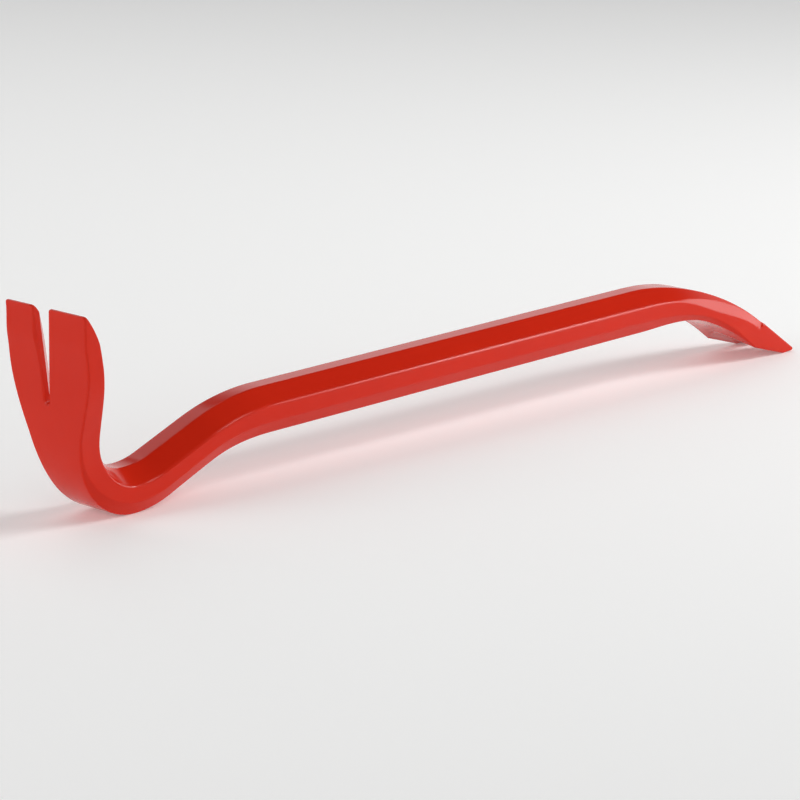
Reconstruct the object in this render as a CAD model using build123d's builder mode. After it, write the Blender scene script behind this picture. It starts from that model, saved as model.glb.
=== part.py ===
"""Forged steel pry bar: upright nail claw, rounded heel, eight-sided shank and curved chisel blade.

The bar is one forging. It is drawn from its back line, which runs down the inner face of the
claw, round the hook, up the rise, along the top of the shank and down the top of the blade, and
from the section that hangs below that line at named places. Millimetres, +Z up, +X from claw to
blade. The bar is symmetric about Y = 0 but for its two nail slots, which stand a little to the +Y
side. It lies as it rests on a bench, on its heel and on the chisel edge, and the origin is on the
bench under the middle of its length.
"""
from build123d import *
from math import atan2, cos, degrees, radians, sin
import os

# Back line
claw_length = 51.0          # straight inner face of the claw, edge to hook
claw_lean = 8.5             # degrees that the claw leans away from the shank
hook_radius = 22.0          # inside of the hook
heel_radius = 34.5          # easing from the hook into the rise
rise_angle = 20.5           # degrees that the rise climbs from the heel
rise_length = 26.0          # straight part of the rise
crest_radius = 110.0        # bend from the rise into the shank
shank_length = 231.5        # straight part of the shank
blade_radius = 140.0        # curve of the blade
blade_angle = 34.5          # degrees that the blade has turned down at its tip
tip_length = 33.0           # straight end of the blade

# Widths across the bar
claw_width = 45.4
shank_width = 24.4
blade_width = 28.6
top_land_width = 7.6        # flat along the top of the shank
bottom_land_width = 18.0    # flat along the underside of the shank

# Depths below the back line
claw_edge_thickness = 6.4   # before the edge is ground
claw_thickness = 8.0        # of the tines
claw_root_thickness = 10.6  # where the claw meets the hook
heel_thickness = 17.8
rise_thickness = 17.2
shank_height = 18.2
blade_thickness = 12.5

# Faces of the section
roof_height = 5.4           # drop of each sloping top face of the shank
shoulder_ease = 0.9         # softened shoulder between sloping top face and side
base_height = 5.6           # height of each lower bevel of the shank
edge_break = 0.5            # broken edges of claw and blade
crown = 0.15                # rise of the claw's and blade's flat faces towards the middle
blade_root_length = 52.0    # along the blade's curve until it is as thin as the blade
blade_base_bevel = 2.2      # bevel along each bottom edge of the blade
blade_land_in = 2.0         # top land of the blade from its side, where its bevels stop
blade_roof_height = 0.3     # drop of its sloping top faces there
bevel_start_length = 20.0   # along the blade's curve until a steep bevel opens under each top face
bevel_full_length = 57.0    # and until it is at its widest
bevel_width = 2.2           # across the bar at its widest
bevel_height = 5.0          # and down the side
bevel_end_width = 1.2       # across the bar where it stops
bevel_end_height = 3.8      # and down the side
bevel_stop = 30.0           # the bevels stop this far from the chisel edge
bevel_run_out = 2.5         # and run out over this length

# Nail slots and ground edges
flare_start = 21.0          # the claw widens down from its full width here, measured from its edge
flare_end = 66.0            # and has the width of the shank here
tine_length = 14.0          # from the claw's edge to the full thickness of its tines
slot_offset = 2.4           # of both slots from the middle of the bar
slot_root = 2.4             # width of both slots at their round roots
slot_corner = 1.6           # broken corners at the mouths of both slots
claw_slot_mouth = 8.2
claw_slot_length = 38.0
claw_slot_bevel = 1.2       # bevelled border of the claw's slot on its outer face
claw_slot_hollow = 4.6      # and on its inner face
chisel_slot_mouth = 8.0
chisel_slot_length = 21.0
chisel_hollow_depth = 4.2   # of the shallow V across the chisel's ground face, at its slot
claw_grind_length = 19.0    # long ground face inside the claw edge
claw_grind_depth = 2.1
claw_edge_length = 6.0      # short steep face at the claw edge
claw_edge_left = 0.9        # steel left at the claw edge
chisel_grind_length = 27.5  # long ground face under the chisel edge
chisel_edge_length = 6.0    # short steep face at the chisel edge
chisel_edge_depth = 5.6     # thickness where the two ground faces meet
chisel_edge_left = 1.2      # steel left at the chisel edge

# Drawing aids
section_spacing = 7.0       # between the sections that the bends are drawn through
cutter_reach = 12.0         # how far a cutter stands clear of the faces it cuts

# Lengths along the back line, from the claw edge to the chisel edge
hook_start = claw_length
hook_end = hook_start + hook_radius * radians(90 - claw_lean)
heel_end = hook_end + heel_radius * radians(rise_angle)
rise_end = heel_end + rise_length
shank_start = rise_end + crest_radius * radians(rise_angle)
shank_end = shank_start + shank_length
blade_end = shank_end + blade_radius * radians(blade_angle)
blade_root = shank_end + blade_root_length
tip_end = blade_end + tip_length
bevel_start = shank_end + bevel_start_length
bevel_full = shank_end + bevel_full_length
bevel_end = tip_end - bevel_stop
tip_start = bevel_end + bevel_run_out

# Sizes of the section, each at its length along the back line and eased in between
width_places = [
    (0, claw_width),
    (flare_start, claw_width),
    (flare_end, shank_width),
    (shank_end, shank_width),
    (blade_end, blade_width),
    (tip_end, blade_width),
]
depth_places = [
    (0, claw_edge_thickness),
    (tine_length, claw_thickness),
    (hook_start, claw_root_thickness),
    (hook_end, heel_thickness),
    (rise_end, rise_thickness),
    (shank_start, shank_height),
    (shank_end, shank_height),
    (blade_root, blade_thickness),
    (tip_end, blade_thickness),
]
# How far the top land stands in from the side, and the drop of the sloping faces beside it
top_places = [
    (0, 2 * edge_break, crown),
    (hook_start, 2 * edge_break, crown),
    (hook_end, (shank_width - top_land_width) / 2, roof_height),
    (shank_end, (shank_width - top_land_width) / 2, roof_height),
    (bevel_end, blade_land_in, blade_roof_height),
    (tip_start, 2 * edge_break, crown),
    (tip_end, 2 * edge_break, crown),
]
# Bevel between the sloping face and the side, across and down
shoulder_places = [
    (0, edge_break, edge_break),
    (hook_start, edge_break, edge_break),
    (hook_end, shoulder_ease, shoulder_ease),
    (bevel_start, shoulder_ease, shoulder_ease),
    (bevel_full, bevel_width, bevel_height),
    (bevel_end, bevel_end_width, bevel_end_height),
    (tip_start, edge_break, edge_break),
    (tip_end, edge_break, edge_break),
]
# Bevel between the side and the bottom land, across and up
base_places = [
    (0, edge_break, edge_break),
    (hook_start, edge_break, edge_break),
    (hook_end, (shank_width - bottom_land_width) / 2, base_height),
    (shank_end, (shank_width - bottom_land_width) / 2, base_height),
    (blade_root, blade_base_bevel, blade_base_bevel),
    (bevel_end, blade_base_bevel, blade_base_bevel),
    (tip_start, edge_break, edge_break),
    (tip_end, edge_break, edge_break),
]


def sizes_at(places, length):
    """Sizes at a length, eased between the places on either side of it."""
    before, after = [pair for pair in zip(places, places[1:]) if pair[0][0] <= length][-1]
    share = (length - before[0]) / (after[0] - before[0])
    eased = share * share * (3 - 2 * share)
    return [one + (other - one) * eased for one, other in zip(before[1:], after[1:])]


def outline(length):
    """Corners of the section at a length, with the back line at its top centre."""
    half = sizes_at(width_places, length)[0] / 2
    thickness = sizes_at(depth_places, length)[0]
    land_in, roof = sizes_at(top_places, length)
    shoulder_in, shoulder_down = sizes_at(shoulder_places, length)
    base_in, base_up = sizes_at(base_places, length)
    right = [
        (half - land_in, 0),
        (half - shoulder_in, -roof),
        (half, -roof - shoulder_down),
        (half, base_up - thickness),
        (half - base_in, -thickness),
    ]
    return right + [(-across, up) for across, up in reversed(right)]


# Side view of the back line, with the shank level
with BuildLine() as back_line:
    claw_face = PolarLine((0, 0), claw_length, angle=claw_lean - 90)
    hook = JernArc(claw_face @ 1, claw_face % 1, hook_radius, 90 - claw_lean)
    heel = JernArc(hook @ 1, hook % 1, heel_radius, rise_angle)
    rise = PolarLine(heel @ 1, rise_length, direction=heel % 1)
    crest = JernArc(rise @ 1, rise % 1, crest_radius, -rise_angle)
    shank_top = PolarLine(crest @ 1, shank_length, direction=crest % 1)
    blade_top = JernArc(shank_top @ 1, shank_top % 1, blade_radius, -blade_angle)
    tip_top = PolarLine(blade_top @ 1, tip_length, direction=blade_top % 1)

runs = [
    (0, claw_face),
    (hook_start, hook),
    (hook_end, heel),
    (heel_end, rise),
    (rise_end, crest),
    (shank_start, shank_top),
    (shank_end, blade_top),
    (blade_end, tip_top),
]


def on_side_view(length, down=0.0, along=0.0):
    """Point of the side view below the back line, and the heading of the back line there."""
    start, run = [pair for pair in runs if pair[0] <= length][-1]
    share = (length - start) / run.length
    heading = run % share
    inward = Vector(-heading.Y, heading.X)
    return run @ share + heading * along - inward * down, heading


# The bar rests on the bottom of its heel and on the corner of its chisel edge
heel_low = on_side_view(hook_end, heel_thickness)[0]
chisel_low = on_side_view(tip_end, chisel_edge_depth, -chisel_edge_length)[0]
rest_tilt = degrees(atan2(heel_low.Y - chisel_low.Y, chisel_low.X - heel_low.X))
claw_corner = on_side_view(0, claw_edge_thickness)[0].rotate(Axis.Z, rest_tilt)
chisel_corner = on_side_view(tip_end)[0].rotate(Axis.Z, rest_tilt)
bench_height = chisel_low.rotate(Axis.Z, rest_tilt).Y
side_view = Plane(
    origin=(-(claw_corner.X + chisel_corner.X) / 2, 0, -bench_height),
    x_dir=(cos(radians(rest_tilt)), 0, sin(radians(rest_tilt))),
    z_dir=(0, -1, 0),
)


def direction(flat):
    """Direction in space of a direction in the side view."""
    return side_view.x_dir * flat.X + side_view.y_dir * flat.Y


def section_plane(length):
    """Plane across the bar, x across the bar and y towards its top or inner side."""
    point, heading = on_side_view(length)
    return Plane(side_view.from_local_coords(point), x_dir=(0, 1, 0), z_dir=direction(heading))


def side_plane(length):
    """Plane of the side view, x along the back line and y towards its top or inner side."""
    point, heading = on_side_view(length)
    return Plane(side_view.from_local_coords(point), x_dir=direction(heading), z_dir=(0, -1, 0))


def stations(start, end):
    """Evenly spaced lengths at which sections are drawn between two places."""
    count = max(2, round((end - start) / section_spacing))
    return [start + (end - start) * i / count for i in range(count + 1)]


def slot_edges(mouth_width, length, border=0.0):
    """Corners of a tapered slot with a border round it, from one side of its round root."""
    root_height = length - slot_root / 2
    mouth = mouth_width / 2 + border
    root = slot_root / 2 + border
    return [
        (-root, root_height),
        (-mouth, slot_corner),
        (-mouth - slot_corner, 0),
        (-mouth - slot_corner, -cutter_reach),
        (mouth + slot_corner, -cutter_reach),
        (mouth + slot_corner, 0),
        (mouth, slot_corner),
        (root, root_height),
    ]


# Slots are drawn on the back line's face, x across the bar and y from the edge to the slot's root
across_slots = Vector(0, slot_offset, 0)
claw_plane = side_plane(0)
claw_slot_plane = Plane(claw_plane.origin + across_slots, x_dir=(0, 1, 0), z_dir=-claw_plane.y_dir)
outer_face_plane = claw_slot_plane.offset(claw_thickness)
tip_plane = side_plane(tip_end)
chisel_slot_plane = Plane(tip_plane.origin + across_slots, x_dir=(0, 1, 0), z_dir=tip_plane.y_dir)

# Long ground face under the chisel edge, as a plane across the bar that looks along the face
ground_start = tip_plane.from_local_coords(Vector(-chisel_grind_length, -blade_thickness))
ground_end = tip_plane.from_local_coords(Vector(-chisel_edge_length, -chisel_edge_depth))
ground_plane = Plane(ground_start, x_dir=(0, 1, 0), z_dir=ground_end - ground_start)

with BuildPart() as pry_bar:
    # Claw, hook, heel, rise and crest
    for length in stations(0, shank_start):
        with BuildSketch(section_plane(length)):
            with BuildLine():
                Polyline(*outline(length), close=True)
            make_face()
    loft()

    # Shank
    with BuildSketch(section_plane(shank_start)):
        with BuildLine():
            Polyline(*outline(shank_start), close=True)
        make_face()
    extrude(amount=shank_length)

    # Blade, as far as its bevels reach
    for length in stations(shank_end, bevel_end):
        with BuildSketch(section_plane(length)):
            with BuildLine():
                Polyline(*outline(length), close=True)
            make_face()
    loft()

    # Run-out of the bevels
    for length in (bevel_end, tip_start):
        with BuildSketch(section_plane(length)):
            with BuildLine():
                Polyline(*outline(length), close=True)
            make_face()
    loft()

    # Tip
    with BuildSketch(section_plane(tip_start)):
        with BuildLine():
            Polyline(*outline(tip_start), close=True)
        make_face()
    extrude(amount=tip_end - tip_start)

    # Ground faces inside the claw edge
    with BuildSketch(claw_plane):
        with BuildLine():
            Polyline(
                (claw_grind_length, 0),
                (claw_edge_length, -claw_grind_depth),
                (0, claw_edge_left - claw_edge_thickness),
                (-cutter_reach, claw_edge_left - claw_edge_thickness),
                (-cutter_reach, cutter_reach),
                (claw_grind_length, cutter_reach),
                close=True,
            )
        make_face()
    extrude(amount=claw_width, both=True, mode=Mode.SUBTRACT)

    # Ground faces under the chisel edge
    with BuildSketch(tip_plane):
        with BuildLine():
            Polyline(
                (-chisel_grind_length, -blade_thickness),
                (-chisel_edge_length, -chisel_edge_depth),
                (0, -chisel_edge_left),
                (cutter_reach, -chisel_edge_left),
                (cutter_reach, -blade_thickness - cutter_reach),
                (-chisel_grind_length, -blade_thickness - cutter_reach),
                close=True,
            )
        make_face()
    extrude(amount=blade_width, both=True, mode=Mode.SUBTRACT)

    # Nail slot through the claw, bevelled on the outer face
    with BuildSketch(claw_slot_plane):
        with BuildLine():
            edges = slot_edges(claw_slot_mouth, claw_slot_length)
            Polyline(*edges)
            ThreePointArc(edges[-1], (0, claw_slot_length), edges[0])
        make_face()
    extrude(amount=claw_root_thickness + cutter_reach, both=True, mode=Mode.SUBTRACT)
    for face_plane, bevel in ((outer_face_plane, claw_slot_bevel), (claw_slot_plane, -claw_slot_hollow)):
        border = 3 * abs(bevel)
        with BuildSketch(face_plane.offset(2 * bevel)):
            with BuildLine():
                edges = slot_edges(claw_slot_mouth, claw_slot_length, border)
                Polyline(*edges)
                ThreePointArc(edges[-1], (0, claw_slot_length + border), edges[0])
            make_face()
        extrude(amount=-3 * bevel, taper=45, mode=Mode.SUBTRACT)

    # Nail slot through the chisel end, and the shallow V that leads a nail to it
    with BuildSketch(chisel_slot_plane):
        with BuildLine():
            edges = slot_edges(chisel_slot_mouth, chisel_slot_length)
            Polyline(*edges)
            ThreePointArc(edges[-1], (0, chisel_slot_length), edges[0])
        make_face()
    extrude(amount=blade_thickness + cutter_reach, both=True, mode=Mode.SUBTRACT)
    with BuildSketch(ground_plane):
        with BuildLine():
            Polyline(
                (-blade_width / 2, -cutter_reach),
                (-blade_width / 2, 0),
                (slot_offset, chisel_hollow_depth),
                (blade_width / 2, 0),
                (blade_width / 2, -cutter_reach),
                close=True,
            )
        make_face()
    extrude(amount=chisel_grind_length, both=True, mode=Mode.SUBTRACT)

os.makedirs("parts", exist_ok=True)
pry_bar.part.label = "pry_bar"
export_step(pry_bar.part, "parts/pry_bar.step")
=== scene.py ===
"""Looks of a forged steel pry bar in glossy red enamel, built over its CAD part.

The bar is one forging, so it is one mesh: rings of a rounded section along the bar's back line,
with the two nail slots cut through. Sizes are millimetres, as on the bar, and the finished mesh
is scaled to metres. The back line runs down the inner face of the claw, round the hook, up the
rise, along the top of the shank and down the blade, and lengths are measured along it.
"""

from math import atan2, ceil, cos, pi, radians, sin, sqrt

import bmesh
import bpy
from mathutils import Matrix, Quaternion, Vector


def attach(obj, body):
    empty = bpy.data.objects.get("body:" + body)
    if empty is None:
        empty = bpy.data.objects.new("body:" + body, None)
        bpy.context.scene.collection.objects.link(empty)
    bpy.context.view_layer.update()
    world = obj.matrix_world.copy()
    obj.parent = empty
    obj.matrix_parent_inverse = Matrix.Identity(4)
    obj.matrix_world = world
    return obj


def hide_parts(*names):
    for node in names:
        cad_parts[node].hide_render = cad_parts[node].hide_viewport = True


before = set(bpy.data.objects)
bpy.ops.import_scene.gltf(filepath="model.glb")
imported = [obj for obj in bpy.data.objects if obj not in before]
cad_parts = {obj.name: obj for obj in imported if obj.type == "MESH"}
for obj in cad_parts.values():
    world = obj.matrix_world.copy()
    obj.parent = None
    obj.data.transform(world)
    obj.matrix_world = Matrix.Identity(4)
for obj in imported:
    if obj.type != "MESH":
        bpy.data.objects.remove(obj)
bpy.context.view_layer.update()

METRES_PER_MM = 0.001

# ---------------------------------------------------------------- sizes of the bar
# Back line
claw_length = 51.0
claw_lean = 8.5
hook_radius = 22.0
heel_radius = 34.5
rise_angle = 20.5
rise_length = 26.0
crest_radius = 110.0
shank_length = 231.5
blade_radius = 140.0
blade_angle = 34.5
tip_length = 33.0

# Widths across the bar and depths below the back line
claw_width = 45.4
shank_width = 24.4
blade_width = 28.6
top_land_width = 7.6
bottom_land_width = 18.0
claw_edge_thickness = 6.4
claw_thickness = 8.0
claw_root_thickness = 10.6
heel_thickness = 17.8
rise_thickness = 17.2
shank_height = 18.2
blade_thickness = 12.5

# Faces of the section
roof_height = 5.4           # drop of each sloping top face of the shank
shoulder_ease = 0.9         # softened shoulder between sloping top face and side
base_height = 5.6           # height of each lower bevel of the shank
edge_break = 0.5            # broken edges of claw and chisel
crown = 0.15                # rise of their flat faces towards the middle
edge_radius = 0.5           # rounding of every edge along the bar
edge_softening = 0.45       # and of the edges that the slots cut
blade_base_bevel = 2.2
blade_land_in = 2.0         # top land of the blade from its side, where its bevels stop
blade_roof_height = 0.3     # drop of its sloping top faces there
bevel_width = 2.2           # steep bevel under each top face of the blade, at its widest
bevel_height = 5.0
bevel_end_width = 1.2       # and where it stops
bevel_end_height = 3.8

# Ground faces at both edges
claw_grind_length = 20.0
claw_grind_curve = 2.1      # how much faster the face falls away towards the edge
claw_edge_left = 0.9
chisel_grind_length = 27.5
chisel_edge_length = 6.0
chisel_edge_depth = 5.6
chisel_edge_left = 1.2
chisel_hollow_depth = 4.2   # shallow V across the chisel's ground face, at its slot
chisel_hollow_lead = 14.0   # the V starts this far before the blade's bevels stop
thinnest_edge = 0.5         # steel left under the deepest part of the V
claw_corner_radius = 1.2
chisel_corner_radius = 1.4

# Nail slots
slot_offset = 2.4           # of both slots from the middle of the bar
slot_root = 2.4
slot_corner = 1.7           # radius of the rounded corners at a slot's mouth
slot_reach = 8.0            # how far a slot's cutter stands clear of the edge
claw_slot_mouth = 8.2
claw_slot_length = 38.0
claw_slot_wall = 2.3        # straight wall left between the slot's two bevels
claw_slot_bevel_depth = 0.5
claw_slot_bevel_width = 0.7
claw_slot_hollow = 12.0     # reach of the slot's inner bevel, more than the claw is thick
chisel_slot_mouth = 8.0
chisel_slot_length = 21.0
cut_above = 6.0             # reach of the chisel slot's cutter above and below the blade's top
cut_below = 24.0

# Lengths along the back line, from the claw edge
tine_end = 14.0
flare_start = 21.0
flare_end = 66.0
hook_start = claw_length
hook_end = hook_start + hook_radius * radians(90 - claw_lean)
heel_end = hook_end + heel_radius * radians(rise_angle)
rise_end = heel_end + rise_length
shank_start = rise_end + crest_radius * radians(rise_angle)
shank_end = shank_start + shank_length
blade_root = shank_end + 52.0
blade_end = shank_end + blade_radius * radians(blade_angle)
tip_end = blade_end + tip_length
bevel_start = shank_end + 20.0
bevel_full = shank_end + 57.0
bevel_end = tip_end - 30.0
tip_start = bevel_end + 2.5
grind_start = tip_end - chisel_grind_length
low_edge = tip_end - chisel_edge_length
grind_slope = (blade_thickness - chisel_edge_depth) / (chisel_grind_length - chisel_edge_length)

# ---------------------------------------------------------------- shape of the bar
runs = [
    (claw_length, 0.0),
    (hook_end - hook_start, 90 - claw_lean),
    (heel_end - hook_end, rise_angle),
    (rise_length, 0.0),
    (shank_start - rise_end, -rise_angle),
    (shank_length, 0.0),
    (blade_end - shank_end, -blade_angle),
    (tip_length, 0.0),
]


def on_back_line(length):
    """Point of the back line and its heading in radians, in the side view with the shank level."""
    point = Vector((0.0, 0.0))
    heading = radians(claw_lean - 90)
    for run_length, turn in runs:
        step = min(length, run_length)
        turned = radians(turn) * step / run_length
        chord = step * sin(turned / 2) / (turned / 2) if turned else step
        point += chord * Vector((cos(heading + turned / 2), sin(heading + turned / 2)))
        heading += turned
        length -= step
        if length <= 0:
            break
    return point, heading


def side_point(length, up=0.0):
    """Point of the side view above the back line, square to it."""
    point, heading = on_back_line(length)
    return point + up * Vector((-sin(heading), cos(heading)))


# The bar rests on the bottom of its heel and on the low edge of its chisel end
heel_low = side_point(hook_end, -heel_thickness)
chisel_low = side_point(low_edge, -chisel_edge_depth)
rest_tilt = atan2(heel_low.y - chisel_low.y, chisel_low.x - heel_low.x)
rest = Matrix.Rotation(rest_tilt, 2)
bench_height = (rest @ chisel_low).y
claw_corner = rest @ side_point(0, -claw_edge_thickness)
chisel_corner = rest @ side_point(tip_end)
middle = (claw_corner.x + chisel_corner.x) / 2


def in_space(length, across, up):
    """Point of the resting bar, across it and above its back line at a length."""
    flat = rest @ side_point(length, up)
    return Vector((flat.x - middle, across, flat.y - bench_height))


# Sizes of the section, each at its length along the back line and eased in between
width_places = [
    (0, claw_width),
    (flare_start, claw_width),
    (flare_end, shank_width),
    (shank_end, shank_width),
    (blade_end, blade_width),
    (tip_end, blade_width),
]
depth_places = [
    (0, claw_edge_thickness),
    (tine_end, claw_thickness),
    (hook_start, claw_root_thickness),
    (hook_end, heel_thickness),
    (rise_end, rise_thickness),
    (shank_start, shank_height),
    (shank_end, shank_height),
    (blade_root, blade_thickness),
    (tip_end, blade_thickness),
]
# How far the top land stands in from the side, and the drop of the sloping faces beside it
top_places = [
    (0, 2 * edge_break, crown),
    (hook_start, 2 * edge_break, crown),
    (hook_end, (shank_width - top_land_width) / 2, roof_height),
    (shank_end, (shank_width - top_land_width) / 2, roof_height),
    (bevel_end, blade_land_in, blade_roof_height),
    (tip_start, 2 * edge_break, crown),
    (tip_end, 2 * edge_break, crown),
]
# Bevel between the sloping face and the side, across and down
shoulder_places = [
    (0, edge_break, edge_break),
    (hook_start, edge_break, edge_break),
    (hook_end, shoulder_ease, shoulder_ease),
    (bevel_start, shoulder_ease, shoulder_ease),
    (bevel_full, bevel_width, bevel_height),
    (bevel_end, bevel_end_width, bevel_end_height),
    (tip_start, edge_break, edge_break),
    (tip_end, edge_break, edge_break),
]
# Bevel between the side and the bottom land, across and up
base_places = [
    (0, edge_break, edge_break),
    (hook_start, edge_break, edge_break),
    (hook_end, (shank_width - bottom_land_width) / 2, base_height),
    (shank_end, (shank_width - bottom_land_width) / 2, base_height),
    (blade_root, blade_base_bevel, blade_base_bevel),
    (tip_start, edge_break, edge_break),
    (tip_end, edge_break, edge_break),
]


def sizes_at(places, length):
    """Sizes at a length, eased between the places on either side of it."""
    before, after = [pair for pair in zip(places, places[1:]) if pair[0][0] <= length][-1]
    share = (length - before[0]) / (after[0] - before[0])
    eased = share * share * (3 - 2 * share)
    return [one + (other - one) * eased for one, other in zip(before[1:], after[1:])]


def claw_grind_at(length):
    """Depth ground off the inner face of the claw, rounding over towards its edge."""
    share = max(0.0, 1 - length / claw_grind_length)
    return (claw_edge_thickness - claw_edge_left) * share ** claw_grind_curve


def corner_at(from_end, radius):
    """How far the side stands in at a rounded corner, seen on the flat of the claw or blade."""
    reach = max(0.0, radius - from_end)
    return radius - sqrt(radius * radius - reach * reach)


def underside_at(length, across):
    """Depth of the underside below the back line, with the chisel's ground faces and its hollow."""
    depth = sizes_at(depth_places, length)[0]
    ground = blade_thickness - grind_slope * (length - grind_start)
    if length > grind_start:
        steep = (chisel_edge_depth - chisel_edge_left) * (length - low_edge) / chisel_edge_length
        depth = min(depth, ground, chisel_edge_depth - steep)
    if length > bevel_end - chisel_hollow_lead:
        reach = blade_width / 2 - slot_offset * (1 if across > slot_offset else -1)
        hollow = chisel_hollow_depth * max(0.0, 1 - abs(across - slot_offset) / reach)
        depth = min(depth, max(ground - hollow, thinnest_edge))
    return depth


def rounded(corners, radius, steps=4):
    """An open line of corners with each inner one rounded, always with the same number of points."""
    line = [corners[0]]
    for before, corner, after in zip(corners, corners[1:], corners[2:]):
        back, on = before - corner, after - corner
        if back.length < 1e-6 or on.length < 1e-6:
            line += [corner.copy() for _ in range(steps + 1)]
            continue
        reach = min(radius, 0.48 * back.length, 0.48 * on.length)
        start, end = corner + back.normalized() * reach, corner + on.normalized() * reach
        for i in range(steps + 1):
            t = i / steps
            line.append((1 - t) ** 2 * start + 2 * t * (1 - t) * corner + t * t * end)
    return line + [corners[-1]]


def ring(length):
    """One closed ring of the bar's surface."""
    half = sizes_at(width_places, length)[0] / 2 - corner_at(length, claw_corner_radius)
    half -= corner_at(tip_end - length, chisel_corner_radius)
    land_in, roof = sizes_at(top_places, length)
    shoulder_in, shoulder_down = sizes_at(shoulder_places, length)
    base_in, base_up = sizes_at(base_places, length)
    drop = claw_grind_at(length)
    depth = underside_at(length, blade_width / 2)
    # The lower bevel keeps to a third of the steel's depth where the edges are ground thin
    shrink = min(1.0, 0.35 * depth / base_up)
    tops = [
        (0, 0),
        (half - land_in, 0),
        (half - shoulder_in, -roof),
        (half, -roof - shoulder_down),
    ]
    near = [Vector((across, min(up, -drop))) for across, up in tops]
    near.append(Vector((half, min(near[-1].y - 0.05, base_up * shrink - depth))))
    near.append(Vector((half - base_in * shrink, -depth)))
    near.append(Vector((0, -depth)))
    side = rounded(near, edge_radius)
    far = [Vector((-p.x, p.y)) for p in reversed(side)]
    edge = side[-2].x
    floor_steps = 18
    bottom = []
    for i in range(1, floor_steps):
        across = edge * (1 - 2 * i / floor_steps)
        bottom.append(Vector((across, -underside_at(length, across))))
    outline = side[:-1] + bottom + far[1:-1]
    return [in_space(length, p.x, p.y) for p in outline]


def stations():
    """Lengths of the rings, close together where the surface turns quickly."""
    spans = [
        (0, claw_corner_radius, 0.3),
        (claw_corner_radius, claw_grind_length, 1.1),
        (claw_grind_length, shank_start, 1.5),
        (shank_start, shank_end, 4.0),
        (shank_end, bevel_end - 1.0, 1.5),
        (bevel_end - 1.0, tip_start + 0.6, 0.4),
        (tip_start + 0.6, low_edge, 1.2),
        (low_edge, tip_end - chisel_corner_radius, 1.0),
        (tip_end - chisel_corner_radius, tip_end, 0.3),
    ]
    places = [0.0]
    for start, end, spacing in spans:
        count = ceil((end - start) / spacing)
        places += [start + (end - start) * (i + 1) / count for i in range(count)]
    return places


def skin(rings):
    """Closed mesh through rings of equal count, capped at both ends."""
    mesh = bmesh.new()
    loops = [[mesh.verts.new(p) for p in points] for points in rings]
    for one, other in zip(loops, loops[1:]):
        for i in range(len(one)):
            j = (i + 1) % len(one)
            mesh.faces.new((one[i], one[j], other[j], other[i]))
    mesh.faces.new(list(reversed(loops[0])))
    mesh.faces.new(loops[-1])
    bmesh.ops.recalc_face_normals(mesh, faces=mesh.faces)
    return mesh


def as_object(name, mesh):
    """Object in the scene from a mesh in millimetres."""
    bmesh.ops.scale(mesh, vec=Vector((1, 1, 1)) * METRES_PER_MM, verts=mesh.verts)
    data = bpy.data.meshes.new(name)
    mesh.to_mesh(data)
    mesh.free()
    piece = bpy.data.objects.new(name, data)
    bpy.context.scene.collection.objects.link(piece)
    return piece


def slot_outline(mouth, length, border):
    """Tapered slot with a round root and rounded mouth corners, as (across, from the edge)."""
    half, root = mouth / 2 + border, slot_root / 2 + border
    root_at = length - slot_root / 2
    root_steps, corner_steps = 8, 6
    round_root = []
    for i in range(root_steps + 1):
        turn = pi * i / root_steps
        round_root.append((root * cos(turn), root_at + root * sin(turn)))
    mouth_side = []
    for i in range(corner_steps + 1):
        turn = pi / 2 * i / corner_steps
        mouth_side.append((-half - slot_corner * (1 - cos(turn)), slot_corner * (1 - sin(turn))))
    mouth_side.append((-half - slot_corner, -slot_reach))
    return round_root + mouth_side + [(-x, y) for x, y in reversed(mouth_side)]


def slot_cutter(name, layers, mouth, length, place):
    """Cutter for a slot, from layers of (depth as a function of the way in, border)."""
    rings = []
    for depth, border in layers:
        outline = slot_outline(mouth, length, border)
        rings.append([place(y, slot_offset + x, -depth(max(0.0, y))) for x, y in outline])
    return as_object(name, skin(rings))


def claw_place(way, across, up):
    """Point a way down from the claw edge."""
    return in_space(0, across, up) + way * (in_space(1, 0, 0) - in_space(0, 0, 0))


def tip_place(way, across, up):
    """Point a way back from the chisel edge."""
    return in_space(tip_end, across, up) - way * (in_space(tip_end, 0, 0) - in_space(tip_end - 1, 0, 0))


def outer_face(way):
    """Depth of the claw's outer face."""
    return sizes_at(depth_places, way)[0]


def hollow_start(way):
    """Depth at which the slot's inner bevel meets its straight wall."""
    return outer_face(way) - claw_slot_bevel_depth - claw_slot_wall


claw_layers = [
    (lambda way: hollow_start(way) - claw_slot_hollow, claw_slot_hollow),
    (hollow_start, 0.0),
    (lambda way: outer_face(way) - claw_slot_bevel_depth, 0.0),
    (lambda way: outer_face(way) + 2 * claw_slot_bevel_depth, 3 * claw_slot_bevel_width),
]
chisel_layers = [
    (lambda way: -cut_above, 0.0),
    (lambda way: cut_below, 0.0),
]

bar = as_object("forged_bar", skin([ring(length) for length in stations()]))
cutters = [
    slot_cutter("claw_slot", claw_layers, claw_slot_mouth, claw_slot_length, claw_place),
    slot_cutter("chisel_slot", chisel_layers, chisel_slot_mouth, chisel_slot_length, tip_place),
]


def apply_modifiers(piece):
    """Keeps the shape that a piece's modifiers give and removes them."""
    shaped = piece.evaluated_get(bpy.context.evaluated_depsgraph_get())
    data = bpy.data.meshes.new_from_object(shaped)
    piece.modifiers.clear()
    piece.data = data


for cutter in cutters:
    cut = bar.modifiers.new(cutter.name, "BOOLEAN")
    cut.operation = "DIFFERENCE"
    cut.solver = "EXACT"
    cut.object = cutter
apply_modifiers(bar)
for cutter in cutters:
    bpy.data.objects.remove(cutter)

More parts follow.
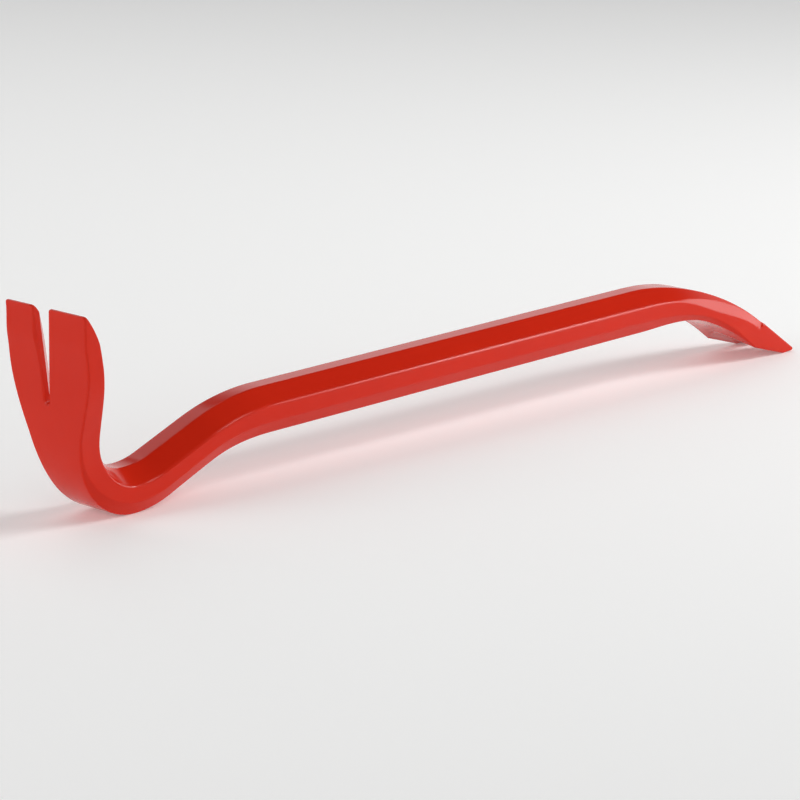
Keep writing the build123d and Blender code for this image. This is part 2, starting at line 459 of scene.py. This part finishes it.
soften = bar.modifiers.new("softened edges", "BEVEL")
soften.limit_method = "ANGLE"
soften.angle_limit = radians(34)
soften.width = edge_softening * METRES_PER_MM
soften.segments = 2
soften.use_clamp_overlap = True
apply_modifiers(bar)
bar.data.shade_smooth()
bar.data.set_sharp_from_angle(angle=radians(38))
weighted = bar.modifiers.new("flat faces shade flat", "WEIGHTED_NORMAL")
weighted.keep_sharp = True
apply_modifiers(bar)


# ---------------------------------------------------------------- materials
def to_linear(colour):
    """Scene colour of an sRGB hex colour."""
    channels = [int(colour[i:i + 2], 16) / 255 for i in (1, 3, 5)]
    return [c / 12.92 if c <= 0.04045 else ((c + 0.055) / 1.055) ** 2.4 for c in channels] + [1.0]


def add_node(tree, kind, inputs=(), **settings):
    """Adds a node with some of its settings and inputs."""
    node = tree.nodes.new(kind)
    for name, value in settings.items():
        setattr(node, name, value)
    for name, value in dict(inputs).items():
        node.inputs[name].default_value = value
    return node


def new_material(name):
    material = bpy.data.materials.new(name)
    material.use_nodes = True
    return material, material.node_tree, material.node_tree.nodes["Principled BSDF"]


# Red alkyd enamel sprayed on forged steel: an even strong red with a wet gloss, a little darker
# where it lies thick, with a faint orange peel and the slow waves of the forging under it
enamel, tree, shader = new_material("Red alkyd enamel on forged steel")
place = add_node(tree, "ShaderNodeTexCoord")
cloud = add_node(tree, "ShaderNodeTexNoise", {"Scale": 28.0, "Detail": 3.0, "Roughness": 0.5})
tint = add_node(tree, "ShaderNodeMix", data_type="RGBA")
tint.inputs["A"].default_value = to_linear("#D22A14")
tint.inputs["B"].default_value = to_linear("#C72310")
peel = add_node(tree, "ShaderNodeTexNoise", {"Scale": 700.0, "Detail": 2.0, "Roughness": 0.5})
wave = add_node(tree, "ShaderNodeTexNoise", {"Scale": 60.0, "Detail": 2.0, "Roughness": 0.45})
wave_bump = add_node(tree, "ShaderNodeBump", {"Strength": 0.3, "Distance": 0.00012})
peel_bump = add_node(tree, "ShaderNodeBump", {"Strength": 0.25, "Distance": 0.00004})
gloss = add_node(tree, "ShaderNodeMapRange", {"To Min": 0.13, "To Max": 0.19})
for texture in (cloud, peel, wave):
    tree.links.new(place.outputs["Object"], texture.inputs["Vector"])
tree.links.new(cloud.outputs["Fac"], tint.inputs["Factor"])
tree.links.new(tint.outputs["Result"], shader.inputs["Base Color"])
tree.links.new(cloud.outputs["Fac"], gloss.inputs["Value"])
tree.links.new(gloss.outputs["Result"], shader.inputs["Roughness"])
tree.links.new(wave.outputs["Fac"], wave_bump.inputs["Height"])
tree.links.new(wave_bump.outputs["Normal"], peel_bump.inputs["Normal"])
tree.links.new(peel.outputs["Fac"], peel_bump.inputs["Height"])
tree.links.new(peel_bump.outputs["Normal"], shader.inputs["Normal"])
shader.inputs["IOR"].default_value = 1.42
shader.inputs["Specular IOR Level"].default_value = 0.22

# Matt white acrylic, lit a little from below: pale and even, with only the bar's soft shadow on it
acrylic, tree, shader = new_material("Matt white acrylic")
shader.inputs["Base Color"].default_value = to_linear("#F6F6F5")
shader.inputs["Roughness"].default_value = 0.9
shader.inputs["Emission Color"].default_value = to_linear("#FFFFFF")
shader.inputs["Emission Strength"].default_value = 0.14

# ---------------------------------------------------------------- pieces
bar.data.materials.clear()
bar.data.materials.append(enamel)
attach(bar, "root")
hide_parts("pry_bar")

floor_mesh = bmesh.new()
bmesh.ops.create_grid(floor_mesh, x_segments=1, y_segments=1, size=6000.0)
floor = as_object("floor", floor_mesh)
floor.data.materials.append(acrylic)


# ---------------------------------------------------------------- light and camera
def softbox(name, direction, distance, size, power):
    """Square soft light that faces the middle of the bar."""
    light = bpy.data.lights.new(name, "AREA")
    light.shape = "SQUARE"
    light.size = size
    light.energy = power
    lamp = bpy.data.objects.new(name, light)
    towards = Vector(direction).normalized()
    lamp.location = towards * distance
    lamp.rotation_euler = towards.to_track_quat("Z", "Y").to_euler()
    bpy.context.scene.collection.objects.link(lamp)


softbox("key", (0.00, 0.60, 0.80), 1.8, 1.5, 8.0)
softbox("side fill", (-0.93, 0.10, 0.34), 1.6, 0.9, 5.0)
softbox("ridge light", (0.71, -0.37, 0.60), 1.7, 0.42, 7.0)
softbox("rise light", (0.35, -0.50, 0.79), 1.7, 0.42, 3.5)
softbox("edge light", (0.82, -0.48, 0.27), 1.7, 0.85, 9.0)

# White walls all round up to about 25 degrees, and a dim ceiling
world = bpy.data.worlds.new("studio")
world.use_nodes = True
bpy.context.scene.world = world
tree = world.node_tree
background = tree.nodes["Background"]
heading = add_node(tree, "ShaderNodeTexCoord")
split = add_node(tree, "ShaderNodeSeparateXYZ")
height = add_node(tree, "ShaderNodeMapRange", {"From Min": 0.36, "From Max": 0.55})
height.interpolation_type = "SMOOTHSTEP"
studio = add_node(tree, "ShaderNodeMix", data_type="RGBA")
studio.inputs["A"].default_value = to_linear("#FFFFFF")
studio.inputs["B"].default_value = to_linear("#343436")
tree.links.new(heading.outputs["Generated"], split.inputs["Vector"])
tree.links.new(split.outputs["Z"], height.inputs["Value"])
tree.links.new(height.outputs["Result"], studio.inputs["Factor"])
tree.links.new(studio.outputs["Result"], background.inputs["Color"])

camera_data = bpy.data.cameras.new("camera")
camera_data.lens = 159.7
camera_data.sensor_width = 36.0
camera_data.clip_end = 50.0
camera = bpy.data.objects.new("camera", camera_data)
camera.location = (-1.0833, -0.9848, 0.3716)
aim = Vector((-0.0175, 0.0108, 0.0128)) - camera.location
level = aim.to_track_quat("-Z", "Y")
camera.rotation_euler = (level @ Quaternion((0, 0, 1), radians(0.85))).to_euler()
bpy.context.scene.collection.objects.link(camera)
bpy.context.scene.camera = camera
bpy.context.scene.view_settings.view_transform = "Standard"
